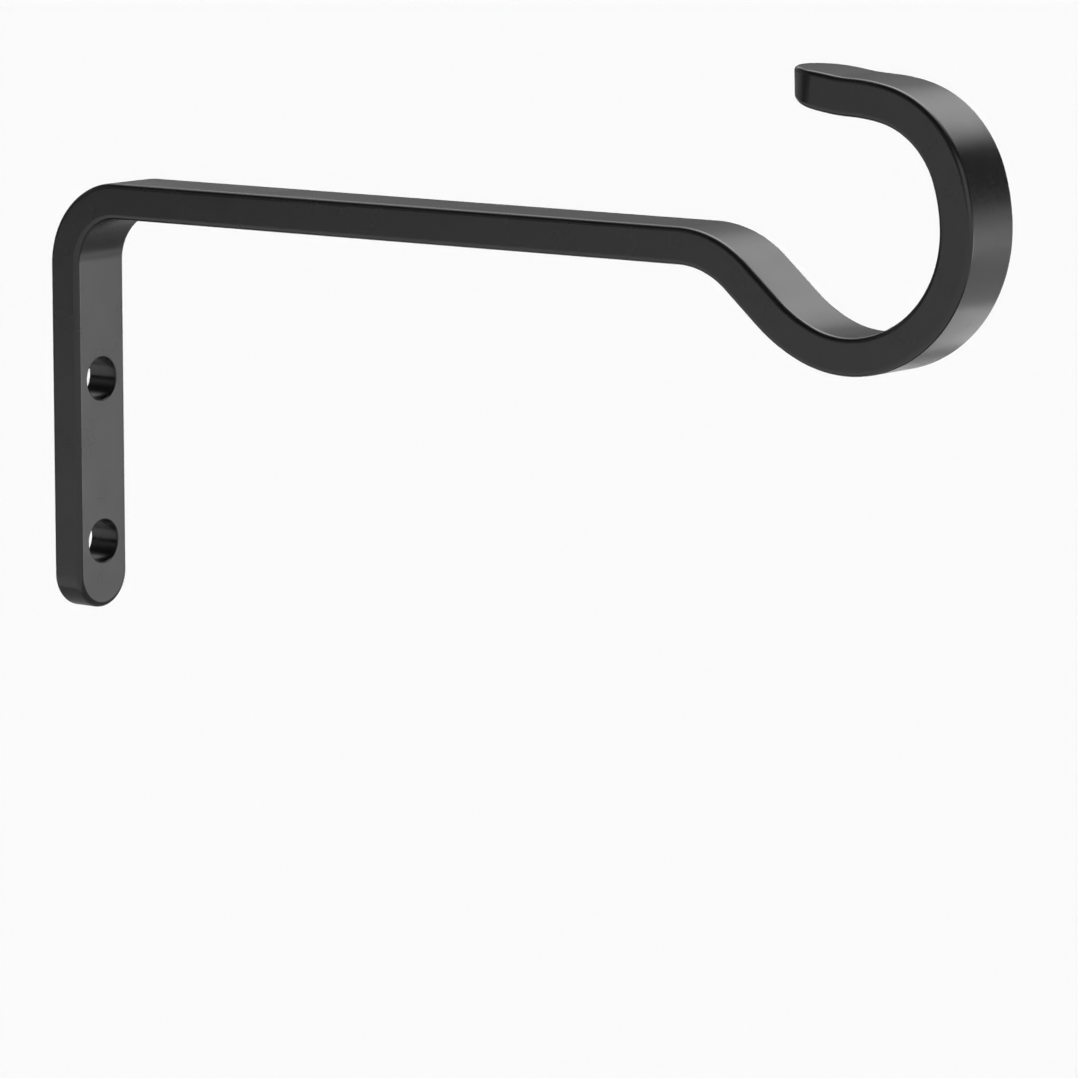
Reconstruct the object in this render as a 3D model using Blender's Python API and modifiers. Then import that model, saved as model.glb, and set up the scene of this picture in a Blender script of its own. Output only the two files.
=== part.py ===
"""Wall plant hook: one flat steel bar, drilled, bent and powder coated. Metres, +Z up.

It is modelled as it is made. A flat blank lies along X, with a full-radius end at its foot and at its tip,
eased edges and two screw holes through its leg. Its length is then wrapped round a side profile of straight
runs and arcs. The origin is on the leg's back face, the face that lies on the wall, midway between the two
screw holes. The arm runs out along +X and the hook opens back towards the wall.
"""

import math

import bmesh
import bpy
from mathutils import Vector

# Bar stock
BAR_WIDTH = 0.0100
BAR_THICKNESS = 0.0050
EDGE_ROUNDING = 0.00075

# Screw holes through the leg
HOLE_DIAMETER = 0.0060
HOLE_RIM_ROUNDING = 0.0002
HOLE_SPACING = 0.0230
LOWER_HOLE_TO_FOOT = 0.0094
DRILL_OVERRUN = 0.0020

# Side profile: the straight runs, and the inner radius and the angle of each bend
LEG_HEIGHT = 0.0605
WALL_BEND_RADIUS = 0.0070
WALL_BEND_ANGLE = math.radians(90.0)
ARM_RUN = 0.0961
DROP_BEND_RADIUS = 0.0115
DROP_BEND_ANGLE = math.radians(40.5)
DROP_RUN = 0.0065
BOWL_ENTRY_RADIUS = 0.0200
BOWL_ENTRY_ANGLE = math.radians(18.0)
BOWL_RADIUS = 0.0140
BOWL_ANGLE = math.radians(114.0)
SIDE_RADIUS = 0.0195
SIDE_ANGLE = math.radians(17.0)
CROWN_RADIUS = 0.0110
CROWN_ANGLE = math.radians(59.5)
CREST_RADIUS = 0.0250
CREST_ANGLE = math.radians(10.5)
FLARE_RADIUS = 0.0250
FLARE_ANGLE = math.radians(7.0)
TIP_RADIUS = 0.0865
TIP_ANGLE = math.radians(4.85)

# Tip: towards its end the underside rises, and the end leans until it is about plumb
TIP_EASED_RUN = 0.0070
TIP_LIFT = 0.0010
TIP_LEAN = math.tan(math.radians(5.7))

# Fineness of the rounded shapes
BEND_STEP = math.radians(3.6)
END_STEPS = 10
TIP_STEPS = 4
EDGE_STEPS = 4
HOLE_STEPS = 32
RIM_STEPS = 3
LONG_EDGE_CREASE = math.radians(30.0)
HOLE_RIM_CREASE = math.radians(60.0)
SMOOTH_ANGLE = math.radians(40.0)
WELD_DISTANCE = 0.000001

# Powder coat
COAT_COLOUR = (0.0065, 0.0065, 0.0065, 1.0)
COAT_ROUGHNESS = 0.25

UPWARD = math.radians(90.0)


def left_bend(inner_radius, angle):
    return ((inner_radius + BAR_THICKNESS / 2) * angle, angle)


def right_bend(inner_radius, angle):
    length, turn = left_bend(inner_radius, angle)
    return (length, -turn)


def straight(length):
    return (length, 0.0)


def profile_runs():
    """The bar's middle line, seen from the side, as runs of a length and a turn, from the foot to the tip."""
    return [
        straight(LEG_HEIGHT - WALL_BEND_RADIUS - BAR_THICKNESS),
        right_bend(WALL_BEND_RADIUS, WALL_BEND_ANGLE),
        straight(ARM_RUN),
        right_bend(DROP_BEND_RADIUS, DROP_BEND_ANGLE),
        straight(DROP_RUN),
        left_bend(BOWL_ENTRY_RADIUS, BOWL_ENTRY_ANGLE),
        left_bend(BOWL_RADIUS, BOWL_ANGLE),
        left_bend(SIDE_RADIUS, SIDE_ANGLE),
        left_bend(CROWN_RADIUS, CROWN_ANGLE),
        left_bend(CREST_RADIUS, CREST_ANGLE),
        right_bend(FLARE_RADIUS, FLARE_ANGLE),
        left_bend(TIP_RADIUS, TIP_ANGLE),
    ]


def walk(start, run, distance):
    """Where x, z and the heading get to after a distance along a run."""
    x, z, heading = start
    length, turn = run
    if turn == 0.0:
        return (x + distance * math.cos(heading), z + distance * math.sin(heading), heading)
    curvature = turn / length
    ahead = heading + curvature * distance
    x += (math.sin(ahead) - math.sin(heading)) / curvature
    z -= (math.cos(ahead) - math.cos(heading)) / curvature
    return (x, z, ahead)


def placed_runs():
    """Each run with its distance from the foot end and its start in the side view."""
    foot = -HOLE_SPACING / 2 - LOWER_HOLE_TO_FOOT
    distance, start = 0.0, (BAR_THICKNESS / 2, foot, UPWARD)
    placed = []
    for run in profile_runs():
        placed.append((distance, start, run))
        start = walk(start, run, run[0])
        distance += run[0]
    return placed


def bar_length():
    return sum(length for length, turn in profile_runs())


def bend_stations():
    """Distances from the foot end at which the faces are divided, so that they can follow the bends."""
    stations = set()
    for distance, start, (length, turn) in placed_runs():
        steps = math.ceil(abs(turn) / BEND_STEP)
        stations.update(distance + length * step / steps for step in range(steps + 1) if steps)
    return sorted(stations)


def tip_stations():
    """Distances at which the faces are divided near the tip, where its underside rises."""
    start = bar_length() - TIP_EASED_RUN
    return [start + TIP_EASED_RUN * step / TIP_STEPS for step in range(TIP_STEPS)]


def eased(point):
    """Move a point of the flat blank for the rise of the tip's underside and the lean of its end."""
    share = max(point.x - bar_length() + TIP_EASED_RUN, 0.0) / TIP_EASED_RUN
    above = point.z + BAR_THICKNESS / 2
    x = point.x - TIP_LEAN * above * share
    z = point.z - TIP_LIFT * above / BAR_THICKNESS * share ** 2
    return Vector((x, point.y, z))


def bent(point, runs):
    """Carry a point of the flat blank to its place on the bent bar, with the blank's top on the bar's left."""
    distance, start, run = [placed for placed in runs if placed[0] <= max(point.x, 0.0)][-1]
    x, z, heading = walk(start, run, point.x - distance)
    return (x - point.z * math.sin(heading), point.y, z + point.z * math.cos(heading))


def new_collection(name):
    collection = bpy.data.collections.new(name)
    bpy.context.scene.collection.children.link(collection)
    return collection


def mesh_object(name, bm, collection):
    mesh = bpy.data.meshes.new(name)
    bm.to_mesh(mesh)
    bm.free()
    made = bpy.data.objects.new(name, mesh)
    collection.objects.link(made)
    return made


def mark_as_helper(helper):
    helper.hide_render = True
    helper.display_type = "WIRE"


def sharp_blank(collection):
    """A box as long as the bar, with its upright edges rounded into a half circle at each end."""
    bm = bmesh.new()
    bmesh.ops.create_cube(bm, size=1.0)
    for vert in bm.verts:
        vert.co.x = vert.co.x * bar_length() + bar_length() / 2
        vert.co.y *= BAR_WIDTH
        vert.co.z *= BAR_THICKNESS
    upright = [edge for edge in bm.edges if edge.verts[0].co.xy == edge.verts[1].co.xy]
    bmesh.ops.bevel(bm, geom=upright, offset=BAR_WIDTH / 2, segments=END_STEPS, profile=0.5, affect="EDGES")
    bmesh.ops.remove_doubles(bm, verts=bm.verts[:], dist=WELD_DISTANCE)
    return mesh_object("flat_blank", bm, collection)


def hole_drill(name, distance, collection):
    """A round cutter through the flat blank, at a distance from its foot end."""
    bm = bmesh.new()
    bmesh.ops.create_cone(
        bm,
        cap_ends=True,
        segments=HOLE_STEPS,
        radius1=HOLE_DIAMETER / 2,
        radius2=HOLE_DIAMETER / 2,
        depth=BAR_THICKNESS + 2 * DRILL_OVERRUN,
    )
    drill = mesh_object(name, bm, collection)
    drill.location.x = distance
    mark_as_helper(drill)
    return drill


def round_edges(target, name, radius, steps, crease):
    bevel = target.modifiers.new(name, "BEVEL")
    bevel.width = radius
    bevel.segments = steps
    bevel.limit_method = "ANGLE"
    bevel.angle_limit = crease


def drill_hole(target, drill):
    cut = target.modifiers.new(drill.name, "BOOLEAN")
    cut.operation = "DIFFERENCE"
    cut.solver = "EXACT"
    cut.object = drill


def flat_blank(collection):
    """The blank before bending: its long edges eased, its two holes drilled and their rims eased."""
    blank = sharp_blank(collection)
    round_edges(blank, "long_edges", EDGE_ROUNDING, EDGE_STEPS, LONG_EDGE_CREASE)
    drill_hole(blank, hole_drill("lower_drill", LOWER_HOLE_TO_FOOT, collection))
    drill_hole(blank, hole_drill("upper_drill", LOWER_HOLE_TO_FOOT + HOLE_SPACING, collection))
    round_edges(blank, "hole_rims", HOLE_RIM_ROUNDING, RIM_STEPS, HOLE_RIM_CREASE)
    mark_as_helper(blank)
    return blank


def powder_coat():
    material = bpy.data.materials.new("black_powder_coat")
    material.use_nodes = True
    shader = material.node_tree.nodes["Principled BSDF"]
    shader.inputs["Base Color"].default_value = COAT_COLOUR
    shader.inputs["Roughness"].default_value = COAT_ROUGHNESS
    shader.inputs["Metallic"].default_value = 0.0
    return material


def hook_bar(blank, collection):
    """The finished bar: the blank, divided at the bends and wrapped round the side profile."""
    depsgraph = bpy.context.evaluated_depsgraph_get()
    bm = bmesh.new()
    bm.from_object(blank, depsgraph)
    for station in bend_stations() + tip_stations():
        everything = bm.verts[:] + bm.edges[:] + bm.faces[:]
        bmesh.ops.bisect_plane(
            bm, geom=everything, dist=WELD_DISTANCE, plane_co=(station, 0.0, 0.0), plane_no=(1.0, 0.0, 0.0)
        )
    runs = placed_runs()
    for vert in bm.verts:
        vert.co = bent(eased(vert.co), runs)
    bar = mesh_object("hook_bar", bm, collection)
    bar.data.materials.append(powder_coat())
    bar.data.shade_smooth()
    bar.data.set_sharp_from_angle(angle=SMOOTH_ANGLE)
    bar.modifiers.new("even_flats", "WEIGHTED_NORMAL").keep_sharp = True
    return bar


def main():
    for old in list(bpy.data.objects):
        bpy.data.objects.remove(old, do_unlink=True)
    parts = new_collection("wall_plant_hook")
    cutters = new_collection("cutters")
    hook_bar(flat_blank(cutters), parts)


main()
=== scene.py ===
import math

import bmesh
import bpy
from mathutils import Euler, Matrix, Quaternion, Vector


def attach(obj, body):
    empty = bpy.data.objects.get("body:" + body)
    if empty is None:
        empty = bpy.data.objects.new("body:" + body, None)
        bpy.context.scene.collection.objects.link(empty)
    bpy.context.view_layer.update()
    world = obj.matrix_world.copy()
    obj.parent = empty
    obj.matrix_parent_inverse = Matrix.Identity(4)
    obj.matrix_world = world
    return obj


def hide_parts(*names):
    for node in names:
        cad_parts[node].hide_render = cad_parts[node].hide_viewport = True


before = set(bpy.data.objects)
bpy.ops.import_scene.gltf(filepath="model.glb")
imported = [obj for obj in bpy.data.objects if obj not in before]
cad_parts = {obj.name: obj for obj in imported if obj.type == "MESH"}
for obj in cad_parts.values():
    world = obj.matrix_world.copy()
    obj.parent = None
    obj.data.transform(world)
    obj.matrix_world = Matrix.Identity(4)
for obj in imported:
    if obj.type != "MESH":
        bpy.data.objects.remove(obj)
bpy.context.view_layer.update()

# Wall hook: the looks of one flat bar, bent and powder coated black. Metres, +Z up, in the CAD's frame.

# Bar stock and screw holes, as in the CAD
BAR_WIDTH = 0.0100
BAR_THICKNESS = 0.0050
EDGE_ROUNDING = 0.00075
HOLE_DIAMETER = 0.0060
HOLE_RIM_ROUNDING = 0.0002
HOLE_SPACING = 0.0230
LOWER_HOLE_TO_FOOT = 0.0094
DRILL_OVERRUN = 0.0020

# Side profile, as in the CAD: the straight runs, and the inner radius and the angle of each bend
LEG_HEIGHT = 0.0605
WALL_BEND_RADIUS = 0.0070
WALL_BEND_ANGLE = math.radians(90.0)
ARM_RUN = 0.0961
DROP_BEND_RADIUS = 0.0115
DROP_BEND_ANGLE = math.radians(40.5)
DROP_RUN = 0.0065
BOWL_ENTRY_RADIUS = 0.0200
BOWL_ENTRY_ANGLE = math.radians(18.0)
BOWL_RADIUS = 0.0140
BOWL_ANGLE = math.radians(114.0)
SIDE_RADIUS = 0.0195
SIDE_ANGLE = math.radians(17.0)
CROWN_RADIUS = 0.0110
CROWN_ANGLE = math.radians(59.5)
CREST_RADIUS = 0.0250
CREST_ANGLE = math.radians(10.5)
FLARE_RADIUS = 0.0250
FLARE_ANGLE = math.radians(7.0)
TIP_RADIUS = 0.0865
TIP_ANGLE = math.radians(4.85)

# Tip, as in the CAD: towards its end the underside rises, and the end leans until it is about plumb
TIP_EASED_RUN = 0.0070
TIP_LIFT = 0.0010
TIP_LEAN = math.tan(math.radians(5.7))

# Fineness of the visible mesh
BEND_STEP = math.radians(1.5)
END_STEPS = 24
TIP_STEPS = 16
EDGE_STEPS = 8
HOLE_STEPS = 72
RIM_STEPS = 4
LONG_EDGE_CREASE = math.radians(30.0)
HOLE_RIM_CREASE = math.radians(60.0)
ROUND_PROFILE = 0.5
WELD_DISTANCE = 0.000001
TOUCH = 0.00002

UPWARD = math.radians(90.0)

# Camera, found by fitting the bar's outlines in the photograph
CAMERA_PLACE = (0.56838, -0.63325, 0.11869)
CAMERA_YAW = math.radians(37.52)
CAMERA_PITCH = math.radians(8.74)
CAMERA_ROLL = math.radians(-0.04)
CAMERA_LENS_MM = 203.27
CAMERA_SENSOR_MM = 36.0
CAMERA_NEAR = 0.01
CAMERA_FAR = 200.0
LEVEL_AIM = math.radians(90.0)

# Stage: a pale floor well below the hook and a studio all round it
FLOOR_DEPTH = 0.30
FLOOR_SIZE = 60.0
FLOOR_COLOUR = (0.95, 0.95, 0.95, 1.0)
FLOOR_ROUGHNESS = 1.0
WHITE = (1.0, 1.0, 1.0, 1.0)
BLACK = (0.0, 0.0, 0.0, 1.0)
FULL = 1.0
HORIZON = 0.02
BACKDROP_LEVEL = 1.0
BACKDROP_EDGE = (math.radians(2.5), math.radians(3.8))
WALL_TOP_EDGE = (math.radians(15.0), math.radians(38.5))
WALL_TURN_SHARES = (-0.45, 0.35)
LEFT_WALL_LEVEL = 0.43
RIGHT_WALL_LEVEL = 0.13
WALL_TOP_LEVEL = 0.05

# Two soft lights overhead, one inside the other. Each edge fades between two shares of their height.
CEILING_LIGHTS = [
    {
        "left": (-1.27, 0.20),
        "right": (0.19, 0.88),
        "front": (-0.16, 0.13),
        "back": (2.30, 3.30),
        "level": 2.52,
    },
    {
        "left": (-1.27, -0.22),
        "right": (0.18, 0.33),
        "front": (0.11, 0.31),
        "back": (0.74, 0.83),
        "level": 3.7,
    },
]

# Cards that show only in the coat's gloss. An upright one spans two headings, in degrees from the back.
UNIT_GRID_REACH = 0.5
CARD_DISTANCE = 1.2
UPRIGHT_CARDS = [
    {"name": "left_dark_card", "start": -148, "end": -90, "bottom": -0.09, "top": 0.23, "level": 0.01},
    {"name": "low_left_card", "start": -129, "end": -91, "bottom": -0.41, "top": 0.50, "level": 0.33},
    {"name": "back_dark_card", "start": -89, "end": -1.5, "bottom": -0.09, "top": 0.38, "level": 0.19},
    {"name": "high_light_card", "start": -53, "end": -38, "bottom": 0.40, "top": 1.10, "level": 1.25},
    {"name": "right_light_card", "start": 43, "end": 59, "bottom": -0.31, "top": -0.022, "level": 4.6},
    {"name": "front_light_card", "start": 81, "end": 142.5, "bottom": -0.024, "top": 0.77, "level": 1.20},
]
LEVEL_CARDS = [
    {"name": "low_dark_card", "height": -0.050, "x": (-0.159, 0.108), "y": (-0.027, 0.157), "level": 0.39},
    {"name": "low_light_card", "height": -0.050, "x": (0.110, 0.175), "y": (0.123, 0.149), "level": 3.6},
    {"name": "under_dark_card", "height": -0.052, "x": (0.077, 0.278), "y": (0.022, 0.091), "level": 0.06},
]

# Powder coat: soft clouds in its blackness and gloss, a shallow orange peel, and a fine grain over that
COAT_DARK = (0.0058, 0.0058, 0.0058, 1.0)
COAT_PALE = (0.0072, 0.0072, 0.0072, 1.0)
COAT_IOR = 1.50
GLOSSY_ROUGHNESS = 0.22
DULL_ROUGHNESS = 0.28
CLOUD_SIZE = 0.0060
CLOUD_DETAIL = 3.0
PEEL_SIZE = 0.0012
PEEL_DETAIL = 1.0
PEEL_DEPTH = 0.000002
GRAIN_SIZE = 0.00022
GRAIN_DETAIL = 2.0
GRAIN_DEPTH = 0.0000004
NOISE_LOW = 0.3
NOISE_HIGH = 0.7


def left_bend(inner_radius, angle):
    return ((inner_radius + BAR_THICKNESS / 2) * angle, angle)


def right_bend(inner_radius, angle):
    length, turn = left_bend(inner_radius, angle)
    return (length, -turn)


def straight(length):
    return (length, 0.0)


def profile_runs():
    """The bar's middle line in the side view, as runs of a length and a turn, from the foot to the tip."""
    return [
        straight(LEG_HEIGHT - WALL_BEND_RADIUS - BAR_THICKNESS),
        right_bend(WALL_BEND_RADIUS, WALL_BEND_ANGLE),
        straight(ARM_RUN),
        right_bend(DROP_BEND_RADIUS, DROP_BEND_ANGLE),
        straight(DROP_RUN),
        left_bend(BOWL_ENTRY_RADIUS, BOWL_ENTRY_ANGLE),
        left_bend(BOWL_RADIUS, BOWL_ANGLE),
        left_bend(SIDE_RADIUS, SIDE_ANGLE),
        left_bend(CROWN_RADIUS, CROWN_ANGLE),
        left_bend(CREST_RADIUS, CREST_ANGLE),
        right_bend(FLARE_RADIUS, FLARE_ANGLE),
        left_bend(TIP_RADIUS, TIP_ANGLE),
    ]


def walk(start, run, distance):
    """Where x, z and the heading get to after a distance along a run."""
    x, z, heading = start
    length, turn = run
    if turn == 0.0:
        return (x + distance * math.cos(heading), z + distance * math.sin(heading), heading)
    curvature = turn / length
    ahead = heading + curvature * distance
    x += (math.sin(ahead) - math.sin(heading)) / curvature
    z -= (math.cos(ahead) - math.cos(heading)) / curvature
    return (x, z, ahead)


def placed_runs():
    """Each run with its distance from the foot end and its start in the side view."""
    foot = -HOLE_SPACING / 2 - LOWER_HOLE_TO_FOOT
    distance, start = 0.0, (BAR_THICKNESS / 2, foot, UPWARD)
    placed = []
    for run in profile_runs():
        placed.append((distance, start, run))
        start = walk(start, run, run[0])
        distance += run[0]
    return placed


def bar_length():
    return sum(length for length, turn in profile_runs())


def bend_stations():
    """Distances from the foot end at which the faces are divided, so that they can follow the bends."""
    stations = set()
    for distance, start, (length, turn) in placed_runs():
        steps = math.ceil(abs(turn) / BEND_STEP)
        stations.update(distance + length * step / steps for step in range(steps + 1) if steps)
    return sorted(stations)


def tip_stations():
    """Distances at which the faces are divided near the tip, where its underside rises."""
    start = bar_length() - TIP_EASED_RUN
    return [start + TIP_EASED_RUN * step / TIP_STEPS for step in range(TIP_STEPS)]


def eased(point, normal):
    """Move a point of the flat blank and turn its normal, as the tip's underside rises and its end leans."""
    share = max(point.x - bar_length() + TIP_EASED_RUN, 0.0) / TIP_EASED_RUN
    above = point.z + BAR_THICKNESS / 2
    lift = TIP_LIFT / BAR_THICKNESS
    place = Vector((point.x - TIP_LEAN * above * share, point.y, point.z - lift * above * share ** 2))
    if not share:
        return place, normal
    x_by_x = 1.0 - TIP_LEAN * above / TIP_EASED_RUN
    x_by_z = -TIP_LEAN * share
    z_by_x = -2 * lift * above * share / TIP_EASED_RUN
    z_by_z = 1.0 - lift * share ** 2
    turned_x = z_by_z * normal.x - z_by_x * normal.z
    turned_y = (x_by_x * z_by_z - x_by_z * z_by_x) * normal.y
    turned_z = x_by_x * normal.z - x_by_z * normal.x
    return place, Vector((turned_x, turned_y, turned_z)).normalized()


def bent(point, normal, runs):
    """Carry a point of the flat blank, and its surface normal, to their place on the bent bar."""
    distance, start, run = [placed for placed in runs if placed[0] <= max(point.x, 0.0)][-1]
    x, z, heading = walk(start, run, point.x - distance)
    along = Vector((math.cos(heading), 0.0, math.sin(heading)))
    left = Vector((-math.sin(heading), 0.0, math.cos(heading)))
    across = Vector((0.0, 1.0, 0.0))
    place = Vector((x, point.y, z)) + left * point.z
    return place, along * normal.x + across * normal.y + left * normal.z


def beyond(value, limit):
    """How far a value lies outside the span from minus the limit to the limit, with its sign."""
    return value - max(-limit, min(limit, value))


def hole_normal(point, centre):
    """The normal of a hole's wall or rounded rim at a point of the blank, or None away from that hole."""
    out = Vector((point.x - centre, point.y, 0.0))
    if out.length > HOLE_DIAMETER / 2 + HOLE_RIM_ROUNDING - TOUCH:
        return None
    rim = beyond(point.z, BAR_THICKNESS / 2 - HOLE_RIM_ROUNDING)
    inward = out.normalized() * (out.length - HOLE_DIAMETER / 2 - HOLE_RIM_ROUNDING)
    return (inward + Vector((0.0, 0.0, rim))).normalized()


def outer_normal(point):
    """The normal of the blank's outside: flat faces and sides, round ends and eased edges."""
    half_length = bar_length() / 2
    plan = Vector((beyond(point.x - half_length, half_length - BAR_WIDTH / 2), point.y, 0.0))
    out = max(plan.length - BAR_WIDTH / 2 + EDGE_ROUNDING, 0.0)
    over = beyond(point.z, BAR_THICKNESS / 2 - EDGE_ROUNDING)
    return (plan.normalized() * out + Vector((0.0, 0.0, over))).normalized()


def blank_normal(point):
    for centre in (LOWER_HOLE_TO_FOOT, LOWER_HOLE_TO_FOOT + HOLE_SPACING):
        normal = hole_normal(point, centre)
        if normal:
            return normal
    return outer_normal(point)


def mesh_object(name, bm):
    mesh = bpy.data.meshes.new(name)
    bm.to_mesh(mesh)
    bm.free()
    made = bpy.data.objects.new(name, mesh)
    bpy.context.scene.collection.objects.link(made)
    return made


def sharp_blank():
    bm = bmesh.new()
    bmesh.ops.create_cube(bm, size=1.0)
    for vert in bm.verts:
        vert.co.x = vert.co.x * bar_length() + bar_length() / 2
        vert.co.y *= BAR_WIDTH
        vert.co.z *= BAR_THICKNESS
    upright = [edge for edge in bm.edges if edge.verts[0].co.xy == edge.verts[1].co.xy]
    bmesh.ops.bevel(
        bm, geom=upright, offset=BAR_WIDTH / 2, segments=END_STEPS, profile=ROUND_PROFILE, affect="EDGES"
    )
    bmesh.ops.remove_doubles(bm, verts=bm.verts[:], dist=WELD_DISTANCE)
    return mesh_object("flat_blank", bm)


def hole_drill(name, distance):
    bm = bmesh.new()
    bmesh.ops.create_cone(
        bm,
        cap_ends=True,
        segments=HOLE_STEPS,
        radius1=HOLE_DIAMETER / 2,
        radius2=HOLE_DIAMETER / 2,
        depth=BAR_THICKNESS + 2 * DRILL_OVERRUN,
    )
    drill = mesh_object(name, bm)
    drill.location.x = distance
    return drill


def round_edges(target, name, radius, steps, crease):
    bevel = target.modifiers.new(name, "BEVEL")
    bevel.width = radius
    bevel.segments = steps
    bevel.limit_method = "ANGLE"
    bevel.angle_limit = crease


def drill_hole(target, drill):
    cut = target.modifiers.new(drill.name, "BOOLEAN")
    cut.operation = "DIFFERENCE"
    cut.solver = "EXACT"
    cut.object = drill


def fine_blank():
    """The flat blank's finished form as a bmesh. The objects that made it are removed."""
    blank = sharp_blank()
    drills = [
        hole_drill("lower_drill", LOWER_HOLE_TO_FOOT),
        hole_drill("upper_drill", LOWER_HOLE_TO_FOOT + HOLE_SPACING),
    ]
    round_edges(blank, "long_edges", EDGE_ROUNDING, EDGE_STEPS, LONG_EDGE_CREASE)
    for drill in drills:
        drill_hole(blank, drill)
    round_edges(blank, "hole_rims", HOLE_RIM_ROUNDING, RIM_STEPS, HOLE_RIM_CREASE)
    bm = bmesh.new()
    bm.from_object(blank, bpy.context.evaluated_depsgraph_get())
    for helper in [blank, *drills]:
        bpy.data.objects.remove(helper, do_unlink=True)
    return bm


def coated_bar():
    """The visible bar: the blank divided at the bends, bent, and given the normals of its true form."""
    bm = fine_blank()
    for station in bend_stations() + tip_stations():
        everything = bm.verts[:] + bm.edges[:] + bm.faces[:]
        bmesh.ops.bisect_plane(
            bm, geom=everything, dist=WELD_DISTANCE, plane_co=(station, 0.0, 0.0), plane_no=(1.0, 0.0, 0.0)
        )
    runs = placed_runs()
    normals = []
    for vert in bm.verts:
        vert.co, normal = bent(*eased(vert.co.copy(), blank_normal(vert.co)), runs)
        normals.append(normal)
    bar = mesh_object("coated_bar", bm)
    bar.data.shade_smooth()
    bar.data.normals_split_custom_set_from_vertices(normals)
    return bar


def noise(tree, place, size, detail):
    """Even noise, with lumps of a size in metres."""
    node = tree.nodes.new("ShaderNodeTexNoise")
    node.inputs["Scale"].default_value = 1 / size
    node.inputs["Detail"].default_value = detail
    tree.links.new(place, node.inputs["Vector"])
    return node.outputs["Fac"]


def bumps(tree, height, depth):
    """Raise the surface by a height times a depth in metres."""
    node = tree.nodes.new("ShaderNodeBump")
    node.inputs["Distance"].default_value = depth
    tree.links.new(height, node.inputs["Height"])
    return node


def powder_coat():
    """A satin black coat: fine grain over a shallow orange peel, a little uneven in blackness and gloss."""
    material = bpy.data.materials.new("black_powder_coat")
    material.use_nodes = True
    tree = material.node_tree
    shader = tree.nodes["Principled BSDF"]
    shader.inputs["IOR"].default_value = COAT_IOR
    place = tree.nodes.new("ShaderNodeTexCoord").outputs["Object"]
    clouds = noise(tree, place, CLOUD_SIZE, CLOUD_DETAIL)
    blackness = tree.nodes.new("ShaderNodeValToRGB")
    dark, pale = blackness.color_ramp.elements
    dark.position, dark.color = NOISE_LOW, COAT_DARK
    pale.position, pale.color = NOISE_HIGH, COAT_PALE
    tree.links.new(clouds, blackness.inputs["Fac"])
    tree.links.new(blackness.outputs["Color"], shader.inputs["Base Color"])
    roughness = smooth_step(tree, clouds, NOISE_LOW, NOISE_HIGH, GLOSSY_ROUGHNESS, DULL_ROUGHNESS)
    tree.links.new(roughness, shader.inputs["Roughness"])
    peel = bumps(tree, noise(tree, place, PEEL_SIZE, PEEL_DETAIL), PEEL_DEPTH)
    grain = bumps(tree, noise(tree, place, GRAIN_SIZE, GRAIN_DETAIL), GRAIN_DEPTH)
    tree.links.new(peel.outputs["Normal"], grain.inputs["Normal"])
    tree.links.new(grain.outputs["Normal"], shader.inputs["Normal"])
    return material


def maths(tree, operation, *values):
    node = tree.nodes.new("ShaderNodeMath")
    node.operation = operation
    for socket, value in zip(node.inputs, values):
        if isinstance(value, bpy.types.NodeSocket):
            tree.links.new(value, socket)
        else:
            socket.default_value = value
    return node.outputs["Value"]


def smooth_step(tree, value, start, end, low, high):
    node = tree.nodes.new("ShaderNodeMapRange")
    node.interpolation_type = "SMOOTHSTEP"
    tree.links.new(value, node.inputs["Value"])
    for name, number in zip(("From Min", "From Max", "To Min", "To Max"), (start, end, low, high)):
        node.inputs[name].default_value = number
    return node.outputs["Result"]


def within(tree, value, fade_in, fade_out):
    """One in the middle and zero outside, with a soft change between the two places of each fade."""
    rise = smooth_step(tree, value, *fade_in, 0.0, FULL)
    fall = smooth_step(tree, value, *fade_out, FULL, 0.0)
    return maths(tree, "MULTIPLY", rise, fall)


def ceiling_light(tree, right, back, up, light):
    """A soft light overhead, as seen along a direction."""
    height = maths(tree, "MAXIMUM", up, HORIZON)
    across = within(tree, maths(tree, "DIVIDE", right, height), light["left"], light["right"])
    along = within(tree, maths(tree, "DIVIDE", back, height), light["front"], light["back"])
    lit = maths(tree, "MULTIPLY", across, along)
    above = maths(tree, "GREATER_THAN", up, HORIZON)
    return maths(tree, "MULTIPLY", maths(tree, "MULTIPLY", lit, above), light["level"])


def change_over(tree, up, edge, below, above):
    """One brightness below an edge and another above it, changing softly between the edge's two angles."""
    start, end = (math.sin(angle) for angle in edge)
    share = smooth_step(tree, up, start, end, 0.0, FULL)
    kept = maths(tree, "MULTIPLY", maths(tree, "SUBTRACT", FULL, share), below)
    return maths(tree, "ADD", kept, maths(tree, "MULTIPLY", share, above))


def studio_world():
    """A white backdrop up to just above the horizon, dark walls over it and soft lights overhead."""
    world = bpy.data.worlds.new("studio")
    world.use_nodes = True
    bpy.context.scene.world = world
    tree = world.node_tree
    background = tree.nodes["Background"]
    background.inputs["Color"].default_value = WHITE
    split = tree.nodes.new("ShaderNodeSeparateXYZ")
    tree.links.new(tree.nodes.new("ShaderNodeTexCoord").outputs["Generated"], split.inputs["Vector"])
    right, back, up = split.outputs
    wall = smooth_step(tree, right, *WALL_TURN_SHARES, LEFT_WALL_LEVEL, RIGHT_WALL_LEVEL)
    walls = change_over(tree, up, WALL_TOP_EDGE, wall, WALL_TOP_LEVEL)
    total = change_over(tree, up, BACKDROP_EDGE, BACKDROP_LEVEL, walls)
    for light in CEILING_LIGHTS:
        total = maths(tree, "ADD", total, ceiling_light(tree, right, back, up, light))
    tree.links.new(total, background.inputs["Strength"])


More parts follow.
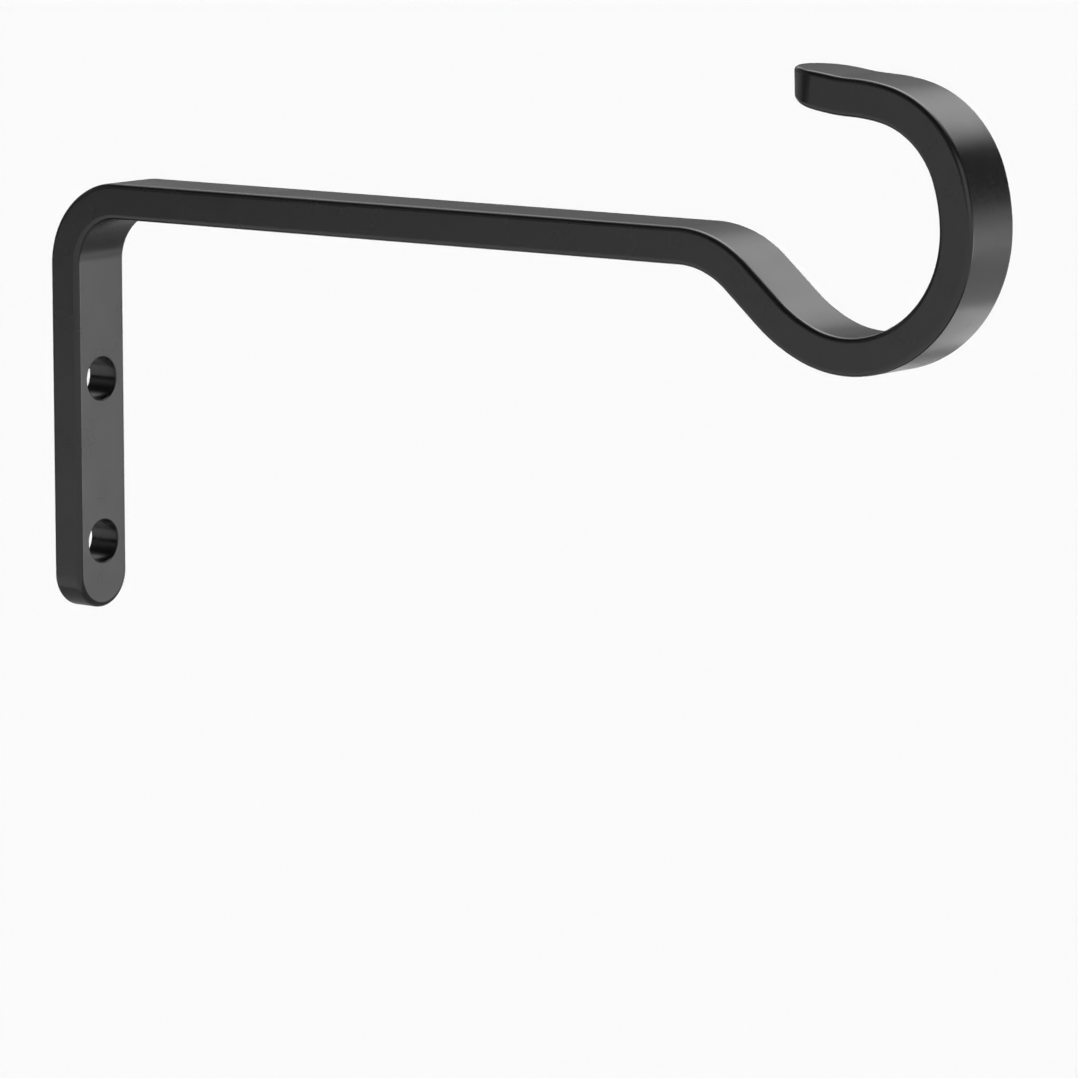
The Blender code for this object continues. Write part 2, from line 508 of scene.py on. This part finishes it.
def upright_card(name, start, end, bottom, top, level):
    """A card that stands facing the hook."""
    width = 2 * CARD_DISTANCE * math.tan(math.radians(end - start) / 2)
    bm = bmesh.new()
    bmesh.ops.create_grid(bm, x_segments=1, y_segments=1, size=UNIT_GRID_REACH)
    for vert in bm.verts:
        vert.co = (vert.co.x * width, CARD_DISTANCE, (top + bottom) / 2 + vert.co.y * (top - bottom))
    card = mesh_object(name, bm)
    card.rotation_euler.z = -math.radians(start + end) / 2
    show_in_gloss_only(card, level)


def level_card(name, height, x, y, level):
    """A card that lies level below the hook, between two places along X and two along Y."""
    bm = bmesh.new()
    corners = [(x[0], y[0]), (x[1], y[0]), (x[1], y[1]), (x[0], y[1])]
    bm.faces.new([bm.verts.new((*corner, height)) for corner in corners])
    show_in_gloss_only(mesh_object(name, bm), level)


def show_in_gloss_only(card, level):
    """Give a card its own brightness and hide it from everything but reflections."""
    material = bpy.data.materials.new(card.name)
    material.use_nodes = True
    shader = material.node_tree.nodes["Principled BSDF"]
    shader.inputs["Base Color"].default_value = BLACK
    shader.inputs["Specular IOR Level"].default_value = 0.0
    shader.inputs["Emission Color"].default_value = WHITE
    shader.inputs["Emission Strength"].default_value = level
    card.data.materials.append(material)
    card.visible_camera = False
    card.visible_diffuse = False
    card.visible_shadow = False
    card.visible_transmission = False


def pale_floor():
    bm = bmesh.new()
    bmesh.ops.create_grid(bm, x_segments=1, y_segments=1, size=FLOOR_SIZE / 2)
    floor = mesh_object("floor", bm)
    floor.location.z = -FLOOR_DEPTH
    material = bpy.data.materials.new("pale_floor")
    material.use_nodes = True
    shader = material.node_tree.nodes["Principled BSDF"]
    shader.inputs["Base Color"].default_value = FLOOR_COLOUR
    shader.inputs["Roughness"].default_value = FLOOR_ROUGHNESS
    shader.inputs["Specular IOR Level"].default_value = 0.0
    floor.data.materials.append(material)


def photo_camera():
    data = bpy.data.cameras.new("photo_camera")
    data.lens = CAMERA_LENS_MM
    data.sensor_width = CAMERA_SENSOR_MM
    data.sensor_fit = "HORIZONTAL"
    data.clip_start = CAMERA_NEAR
    data.clip_end = CAMERA_FAR
    camera = bpy.data.objects.new("photo_camera", data)
    camera.location = CAMERA_PLACE
    aim = Euler((LEVEL_AIM - CAMERA_PITCH, 0.0, CAMERA_YAW)).to_quaternion()
    camera.rotation_mode = "QUATERNION"
    camera.rotation_quaternion = aim @ Quaternion((0.0, 0.0, 1.0), CAMERA_ROLL)
    bpy.context.scene.collection.objects.link(camera)
    bpy.context.scene.camera = camera


bar = coated_bar()
bar.data.materials.append(powder_coat())
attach(bar, "root")
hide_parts("hook_bar")

pale_floor()
studio_world()
for card in UPRIGHT_CARDS:
    upright_card(**card)
for card in LEVEL_CARDS:
    level_card(**card)
photo_camera()
bpy.context.scene.view_settings.view_transform = "Standard"
